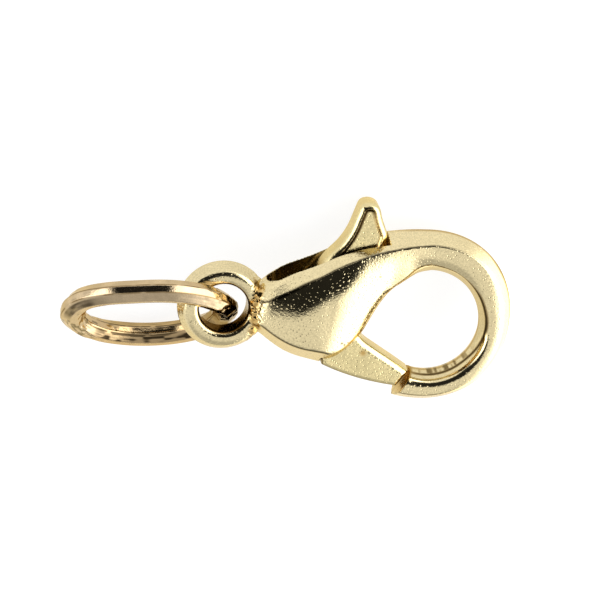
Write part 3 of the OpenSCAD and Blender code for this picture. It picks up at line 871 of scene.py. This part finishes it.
def make_pin():
    """The pin, with its driven end slightly domed."""
    r = PIN_D / 2
    back = PIN_SINK - BODY_T - CROWN
    front = BODY_T + CROWN - PIN_COVER - PIN_SINK
    rows = [(0.05 * r, back - 0.035), (0.4 * r, back - 0.03), (0.7 * r, back - 0.012)]
    rows += [(r - PIN_ROUND + PIN_ROUND * math.sin(a), back + PIN_ROUND * (1 - math.cos(a)))
             for a in np.linspace(0.2, math.pi / 2, 6)]
    rows += [(r, mix(back, front, v)) for v in np.linspace(0.1, 0.9, 9)]
    rows += [(r - PIN_ROUND + PIN_ROUND * math.cos(a), front - PIN_ROUND * (1 - math.sin(a)))
             for a in np.linspace(0, math.pi / 2, 6)]
    rows += [(0.5 * r, front), (0.05 * r, front)]
    turn = np.linspace(0, 2 * math.pi, PIN_SIDES, endpoint=False)
    points = [(PIVOT_X + rr * math.cos(a), rr * math.sin(a), z) for rr, z in rows for a in turn]
    last = (len(rows) - 1) * PIN_SIDES
    faces = tube_faces(len(rows), PIN_SIDES)
    faces += [list(range(PIN_SIDES))[::-1], list(range(last, last + PIN_SIDES))]
    return make_piece("pivot_pin_turned", np.array(points), faces)


def ring_frame():
    """Centre of the ring and its own three directions in the clasp's frame."""
    ring_r = (RING_D - WIRE_D) / 2
    cross = math.asin(RING_DROP / (ring_r * math.cos(math.radians(RING_LEAN))))
    turn = (Matrix.Rotation(math.radians(RING_TURN), 3, "Z")
            @ Matrix.Rotation(math.radians(90 - RING_LEAN), 3, "X")
            @ Matrix.Rotation(cross, 3, "Z"))
    seat = Vector((*RING_SEAT, 0))
    return ring_r, seat + turn @ Vector((-ring_r, 0, 0)), turn


# The drawn wire has eight flats with soft edges: which way each faces, in degrees round
# the wire from straight out, how far out it is as a share of half the wire's thickness,
# and how sharp the edges between them are
WIRE_FLATS = [(-45, 0.97), (2, 1.10), (52, 0.97), (97, 0.98),
              (135, 0.97), (182, 1.10), (232, 0.97), (277, 0.98)]
WIRE_SHARP = 40
# The ring was opened and closed by hand and isn't quite flat: degrees round it from its
# cut, and millimetres that the wire stands off its plane there
WARP = [(0, 0.01), (18, -0.04), (60, -0.06), (90, -0.07), (112, 0.00), (136, 0.09), (160, 0.05),
        (180, 0.03), (215, -0.02), (270, -0.04), (310, -0.01), (338, 0.06), (360, 0.01)]
# How far the painted shade on the stretch of the wire inside the eye reaches towards the
# front and the back, in radians round the ring
EYE_REACH = (0.16, 0.70)
# Where the edges between the wire's flats are darkened, in degrees round the wire
WIRE_EDGES = (-14, 21, 159, 201)
# Width of the rough stretch at the ring's bend and of the plier marks on either side of its
# cut, in radians round the ring
BEND_WIDTH, GRIP_WIDTH = 0.75, 0.55
# Marks on the wire as depth, cells along it, cells round it and seed: draw marks all along,
# the rough stretch and the plier marks
DRAW_MARKS, BEND_MARKS, GRIP_MARKS = (0.0025, 26, 34, 3), (0.026, 44, 26, 5), (0.018, 110, 18, 7)
# Sections of the wire and points in each, and the rounding of its cut ends
RINGS, WIRE_SIDES = 900, 104
CUT_ROUND = 0.05


def wire_section(b):
    """The wire's radius all round, as a share of its half thickness."""
    total = 0 * b
    for way, out in WIRE_FLATS:
        total += np.maximum(np.cos(b - math.radians(way)) / out, 0) ** WIRE_SHARP
    return total ** (-1 / WIRE_SHARP)


def streaks(a, b, along, around, seed):
    """Smooth random heights over the wire, from -1 to 1, in cells along and round it."""
    table = np.random.default_rng(seed).uniform(-1, 1, (along + 1, around))
    u, v = a * along, b * around
    i, j = u.astype(int), v.astype(int)
    s, t = smooth_step(u - i, 0, 1), smooth_step(v - j, 0, 1)
    i1, j, j1 = np.minimum(i + 1, along), j % around, (j + 1) % around
    i = np.minimum(i, along)
    low = mix(table[i, j], table[i1, j], s)
    return mix(low, mix(table[i, j1], table[i1, j1], s), t)


def at_bend(a):
    """How far a place round the ring is in the bend opposite its cut, from 0 to 1."""
    return np.exp(-((a - math.pi) / BEND_WIDTH) ** 2)


def ring_finish_and_shade(a, b):
    """Dirt, painted shade and painted reflections, and raw metal over the wire: a is the angle
    round the ring, b round the wire.
    """
    streak = 0.5 + 0.5 * streaks(a / (2 * math.pi), b / (2 * math.pi), 60, 30, 11)
    from_cut = np.where(a > math.pi, a - 2 * math.pi, a)
    inside_eye = np.exp(-(from_cut / np.where(from_cut > 0, *EYE_REACH)) ** 2)
    bend = at_bend(a)
    far = smooth_step(-np.sin(a), 0.2, 0.7)

    def away_from(angle):
        return np.abs(np.mod(np.degrees(b) - angle + 180, 360) - 180)

    def on_flat(number):
        return fade(away_from(WIRE_FLATS[number][0]), 17, 24)

    edges = np.min([away_from(angle) for angle in WIRE_EDGES], 0)
    corner = fade(edges, 1.5, 4.5 + 2 * far) * smooth_step(streak, 0.1, 0.4)
    fading = smooth_step(a, 1.75, 2.35) * fade(a, 2.70, 2.95)
    # Painted shade on the stretch inside the eye, dark streaks at the bend, and darkened edges
    # between the flats
    dirt_and_shade = np.max([0.75 * inside_eye, 0.75 * bend * smooth_step(streak, 0.6, 0.75),
                   mix(0.75, 0.95, far) * corner,
                   # Painted reflections: dark patches on one flat of the near wire and on flats of
                   # the far wire
                   0.95 * on_flat(2) * fading * mix(0.55, 1.0, streak),
                   far * on_flat(6) * mix(0.15, 0.45, streak),
                   far * on_flat(4) * mix(0.15, 0.95, smooth_step(streak, 0.3, 0.7)),
                   0.6 * far * on_flat(5) * smooth_step(streak, 0.62, 0.75)], 0)
    return dirt_and_shade, np.max([0.8 * inside_eye, 0.5 * corner, 0.3 * far], 0)


def make_ring():
    ring_r, centre, turn = ring_frame()
    half_cut = math.asin(CUT_GAP / (2 * ring_r))
    angles = np.linspace(half_cut, 2 * math.pi - half_cut, RINGS)
    length = np.minimum(angles - half_cut, 2 * math.pi - half_cut - angles) * ring_r
    end = 1 - np.sqrt(np.clip(1 - (1 - np.clip(length / CUT_ROUND, 0, 1)) ** 2, 0, 1))
    round_wire = np.linspace(0, 2 * math.pi, WIRE_SIDES, endpoint=False)
    a, b = np.meshgrid(angles, round_wire, indexing="ij")
    grip = np.exp(-(np.minimum(a, 2 * math.pi - a) / GRIP_WIDTH) ** 2)
    marks = 0
    for share, (depth, *grid) in ((1, DRAW_MARKS), (at_bend(a), BEND_MARKS), (grip, GRIP_MARKS)):
        marks += depth * share * streaks(a / (2 * math.pi), b / (2 * math.pi), *grid)
    r = WIRE_D / 2 * wire_section(b) + marks - CUT_ROUND * end[:, None]
    reach = ring_r + r * np.cos(b)
    warp = np.array(curve_through(WARP, 12))
    warp = np.interp(np.degrees(a), warp[:, 0], warp[:, 1])
    points = np.stack([reach * np.cos(a), reach * np.sin(a), r * np.sin(b) - warp], -1)
    caps = [(ring_r * math.cos(angle), ring_r * math.sin(angle), 0)
            for angle in (angles[0], angles[-1])]
    points = np.concatenate([points.reshape(-1, 3), caps])
    n, last = RINGS * WIRE_SIDES, (RINGS - 1) * WIRE_SIDES
    faces = tube_faces(RINGS, WIRE_SIDES)
    after = [(k + 1) % WIRE_SIDES for k in range(WIRE_SIDES)]
    faces += [(n, k, j) for k, j in enumerate(after)]
    faces += [(n + 1, last + j, last + k) for k, j in enumerate(after)]
    placed = points @ np.array(turn).T + np.array(centre)
    finish_and_shade = [np.append(layer.ravel(), [1, 1]) for layer in ring_finish_and_shade(a, b)]
    return make_piece("jump_ring_wire", placed, faces, finish_and_shade=finish_and_shade)


# Materials

# Distance between pits in millimetres, and their size as a share of it
PIT_APART, PIT_SIZE = 0.11, 0.28
# Share of the grain's and the pits' depth that polishing leaves
POLISHED = 0.25
# Share of its brightness that the plate keeps in its darkest grains, the bare metal under
# it and the dirt and painted shade
WORN = 0.72
# Colour of the raw metal, also used for the warm part of painted shade
RAW_GOLD_AND_WARM_SHADE = (0.62, 0.36, 0.08)
# How the plate reflects at a glancing angle
EDGE_TINT = (0.92, 0.80, 0.56)
# Colour of the dirt and of the painted shade
DIRT_SHADE_COLOUR = (0.020, 0.012, 0.005)
GOLD = (0.85, 0.72, 0.42)
TRIGGER_GOLD = (0.90, 0.76, 0.40)
RING_GOLD = (0.66, 0.51, 0.32)
# Uneven tone: how much broader than the grain it is, the parts of its noise that span the
# stain and the roughness, and the roughness at either end as a share
BROADER = 7
STAIN_SPAN, ROUGH_SPAN, ROUGH_ENDS = (0.38, 0.62), (0.3, 0.7), (0.8, 1.3)
# Dark grains: their size as a share of the grain's, and the part of their noise they span
SPECKLE_SIZE, SPECKLE_SPAN = 0.8, (0.35, 0.75)


def add(tree, kind, **settings):
    node = tree.nodes.new(kind)
    for key, value in settings.items():
        if key in node.inputs.keys():
            node.inputs[key].default_value = value
        else:
            setattr(node, key, value)
    return node


def new_material(name):
    material = bpy.data.materials.new(name)
    material.use_nodes = True
    return material, material.node_tree, material.node_tree.nodes["Principled BSDF"]


def remap(tree, value, low, high, bottom=0.0, top=1.0, kind="SMOOTHSTEP"):
    """A value's range from low to high laid on the one from bottom to top."""
    node = add(tree, "ShaderNodeMapRange", interpolation_type=kind)
    for socket, number in zip(node.inputs[1:5], (low, high, bottom, top)):
        socket.default_value = number
    tree.links.new(value, node.inputs["Value"])
    return node.outputs["Result"]


def metal(name, colour, roughness, grain, grain_size, pits=0.0, stain=0.0, speckle=0.5):
    """Gold plate over a cast or drawn surface: fine grain, pits and uneven tone. Where the
    mesh has its colour layer, its red is dirt and painted shade, its green is raw, warmer
    metal and warm painted shade, and its blue is polish."""
    material, tree, shader = new_material(name)
    shader.inputs["Metallic"].default_value = 1.0
    shader.inputs["Specular Tint"].default_value = (*EDGE_TINT, 1)
    link = tree.links.new
    place = add(tree, "ShaderNodeTexCoord")

    def noise(size, detail=2.0, rough=0.5):
        node = add(tree, "ShaderNodeTexNoise", Scale=1 / (size * MM), Detail=detail,
                   Roughness=rough)
        link(place.outputs["Object"], node.inputs["Vector"])
        return node.outputs["Fac"]

    def ranged(value, *ends):
        return remap(tree, value, *ends, kind="LINEAR")

    def mixed(share, one, two):
        node = add(tree, "ShaderNodeMix", data_type="RGBA")
        link(share, node.inputs[0])
        for socket, value in ((node.inputs[6], one), (node.inputs[7], two)):
            if isinstance(value, tuple):
                socket.default_value = (*value, 1)
            else:
                link(value, socket)
        return node.outputs[2]

    fine, broad = noise(grain_size, 3.0, 0.55), noise(grain_size * BROADER, 3.0)
    layer = add(tree, "ShaderNodeAttribute", attribute_name="finish_and_shade")
    parts = add(tree, "ShaderNodeSeparateColor")
    link(layer.outputs["Color"], parts.inputs["Color"])
    stained = tuple(c * (1 - stain) for c in colour)
    tone = mixed(ranged(broad, *STAIN_SPAN, 0, 1), stained, colour)
    worn = tuple(c * WORN for c in colour)
    grains = noise(grain_size * SPECKLE_SIZE, 2.0, 0.6)
    tone = mixed(ranged(grains, *SPECKLE_SPAN, 0, speckle), tone, worn)
    # Green lays on raw metal and warm painted shade, red lays on dirt and painted shade
    tone = mixed(parts.outputs["Green"], tone, RAW_GOLD_AND_WARM_SHADE)
    tone = mixed(parts.outputs["Red"], tone, DIRT_SHADE_COLOUR)
    link(tone, shader.inputs["Base Color"])
    rough = ranged(broad, *ROUGH_SPAN, *(roughness * share for share in ROUGH_ENDS))
    link(rough, shader.inputs["Roughness"])
    strength = ranged(parts.outputs["Blue"], 0, 1, 1.0, POLISHED)

    def bumped(height, depth, under=None):
        node = add(tree, "ShaderNodeBump", Distance=depth * MM)
        link(strength, node.inputs["Strength"])
        link(height, node.inputs["Height"])
        if under:
            link(under, node.inputs["Normal"])
        return node.outputs["Normal"]

    normal = bumped(fine, grain)
    if pits:
        cells = add(tree, "ShaderNodeTexVoronoi", Scale=1 / (PIT_APART * MM))
        link(place.outputs["Object"], cells.inputs["Vector"])
        normal = bumped(ranged(cells.outputs["Distance"], 0.0, PIT_SIZE, 0, 1), pits, normal)
    link(normal, shader.inputs["Normal"])
    return material


cast_gold = metal("cast_gold", GOLD, 0.10, 0.006, 0.08, pits=0.009, stain=0.06, speckle=1.0)
trigger_gold = metal("trigger_gold", TRIGGER_GOLD, 0.14, 0.012, 0.10, pits=0.010, stain=0.16,
                     speckle=1.0)
pin_gold = metal("pin_gold", GOLD, 0.16, 0.006, 0.06, stain=0.1)
ring_gold = metal("ring_gold", RING_GOLD, 0.10, 0.004, 0.07, stain=0.2)

for make, node, body, slot, material in (
        (make_casting, "body", "clasp", "clasp_gold", cast_gold),
        (make_trigger, "trigger", "trigger", "clasp_gold", trigger_gold),
        (make_pin, "pivot_pin", "clasp", "clasp_gold", pin_gold),
        (make_ring, "jump_ring", "clasp", "ring_gold", ring_gold)):
    piece = make()
    piece.data.materials.append(material)
    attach(piece, body)
    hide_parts(node)


# Camera, seen as the photograph sees the clasp

CAMERA_SIDE = 8.0       # degrees that the camera stands to the left of the front face
CAMERA_ABOVE = 16.5     # degrees that it stands above the clasp's axis
CAMERA_ROLL = -5.0358   # degrees that the picture is turned
VIEW_WIDTH = 21.544     # millimetres across the picture
VIEW_CENTRE = (2.783, 0.154)  # millimetres right of and above the eye's centre
LENS = 400.0
SENSOR = 36.0


def camera_axes():
    a, b, r = (math.radians(v) for v in (CAMERA_SIDE, CAMERA_ABOVE, CAMERA_ROLL))
    right = Vector((math.cos(a), 0, math.sin(a)))
    up = Vector((math.sin(a) * math.sin(b), math.cos(b), -math.cos(a) * math.sin(b)))
    right, up = (right * math.cos(r) - up * math.sin(r), right * math.sin(r) + up * math.cos(r))
    return [TO_TABLE @ v for v in (right, up, right.cross(up))]


RIGHT, UP, BACK = camera_axes()


def make_camera():
    data = bpy.data.cameras.new("camera")
    camera = put_in_scene("camera", data)
    data.lens, data.sensor_width = LENS, SENSOR
    data.clip_start, data.clip_end = 0.01, 5
    away = VIEW_WIDTH * MM * LENS / SENSOR
    aim = ORIGIN + (RIGHT * VIEW_CENTRE[0] + UP * VIEW_CENTRE[1]) * MM
    turn = Matrix((RIGHT, UP, BACK)).transposed().to_4x4()
    camera.matrix_world = Matrix.Translation(aim + BACK * away) @ turn
    bpy.context.scene.camera = camera


# Studio: a tent of light round the table, with brighter boxes in it and the dark gap that
# the camera looks through. A direction is placed by how far it points right, up and back as
# the camera sees it, from -1 to 1. Each pair is where a form starts and where it is full
TENT = 0.97
RIGHT_BOX, RIGHT_LIGHT = (0.28, 0.80), 2.4
LEFT_BOX_SIDE, LEFT_BOX_FOOT, LEFT_LIGHT = (-0.74, -0.82), (-0.34, -0.20), 1.9
GAP_ACROSS = ((-0.78, -0.66), (0.56, 0.48))
GAP_UP = ((-0.41, -0.33), (0.68, 0.60))
# A dark line high above the gap, and the side of the studio that it and the gap are on
LINE_UP = ((0.80, 0.82), (0.87, 0.85))
BEHIND = (0.0, 0.1)
# Shade from below, and the darkness of that, of the gap and of the line
LOW_SHADE, LOW_DARK, GAP_DARK = (-0.62, -0.85), 0.36, 0.98
# Brightness of the backdrop for the camera itself
BACKDROP = 0.9


def make_world():
    world = bpy.data.worlds.new("studio")
    bpy.context.scene.world = world
    world.use_nodes = True
    tree = world.node_tree
    link = tree.links.new
    background = tree.nodes["Background"]
    way = add(tree, "ShaderNodeTexCoord").outputs["Generated"]

    def toward(direction):
        dot = add(tree, "ShaderNodeVectorMath", operation="DOT_PRODUCT")
        link(way, dot.inputs[0])
        dot.inputs[1].default_value = direction
        return dot.outputs["Value"]

    def both(operation, a, b):
        node = add(tree, "ShaderNodeMath", operation=operation)
        for socket, value in zip(node.inputs, (a, b)):
            if isinstance(value, float):
                socket.default_value = value
            else:
                link(value, socket)
        return node.outputs["Value"]

    def band(value, limits):
        return both("MULTIPLY", remap(tree, value, *limits[0]), remap(tree, value, *limits[1]))

    right, up, back = toward(RIGHT), toward(UP), toward(BACK)
    behind = remap(tree, back, *BEHIND)
    boxes = both("MULTIPLY", remap(tree, right, *RIGHT_BOX), RIGHT_LIGHT)
    left = both("MULTIPLY", remap(tree, right, *LEFT_BOX_SIDE), remap(tree, up, *LEFT_BOX_FOOT))
    boxes = both("ADD", boxes, both("MULTIPLY", left, LEFT_LIGHT))
    light = both("ADD", boxes, TENT)
    gap = both("MULTIPLY", band(right, GAP_ACROSS), band(up, GAP_UP))
    gap = both("MULTIPLY", gap, behind)
    gap = both("MAXIMUM", gap, both("MULTIPLY", band(up, LINE_UP), behind))
    shade = both("MULTIPLY", remap(tree, up, *LOW_SHADE), LOW_DARK)
    dark = both("MULTIPLY", both("MAXIMUM", gap, shade), GAP_DARK)
    light = both("MULTIPLY", light, both("SUBTRACT", 1.0, dark))
    path = add(tree, "ShaderNodeLightPath")
    seen = add(tree, "ShaderNodeMix", data_type="FLOAT")
    link(path.outputs["Is Camera Ray"], seen.inputs["Factor"])
    link(light, seen.inputs[2])
    seen.inputs[3].default_value = BACKDROP
    link(seen.outputs[0], background.inputs["Strength"])
    background.inputs["Color"].default_value = (1, 1, 1, 1)


# The pale floor, in metres: half its side, and how wide the step in its brightness is. The
# floor glows with painted light, stronger past the step at the clasp's right end
FLOOR_HALF, STEP_HALF = 0.3, 0.001
FLOOR_GREY = 0.25
FLOOR_PAINTED_LIGHT = (0.85, 2.7)


def make_floor():
    low, high = -FLOOR_HALF, FLOOR_HALF
    mesh = bpy.data.meshes.new("floor")
    mesh.from_pydata([(low, low, 0), (high, low, 0), (high, high, 0), (low, high, 0)], [],
                     [(0, 1, 2, 3)])
    floor = put_in_scene("floor", mesh)
    material, tree, shader = new_material("pale_floor")
    place = add(tree, "ShaderNodeTexCoord")
    parts = add(tree, "ShaderNodeSeparateXYZ")
    tree.links.new(place.outputs["Object"], parts.inputs["Vector"])
    end = cad_box[1][0]
    # Painted light: the floor glows, brighter beyond the clasp's right end as if lit from that side
    painted_floor_light = remap(tree, parts.outputs["X"], end - STEP_HALF, end + STEP_HALF, *FLOOR_PAINTED_LIGHT)
    tree.links.new(painted_floor_light, shader.inputs["Emission Strength"])
    for socket, value in (("Base Color", (FLOOR_GREY, FLOOR_GREY, FLOOR_GREY, 1)),
                          ("Emission Color", (1, 1, 1, 1)), ("Roughness", 0.9),
                          ("Specular IOR Level", 0.1)):
        shader.inputs[socket].default_value = value
    mesh.materials.append(material)


make_camera()
make_world()
make_floor()

scene = bpy.context.scene
scene.view_settings.view_transform = "Standard"
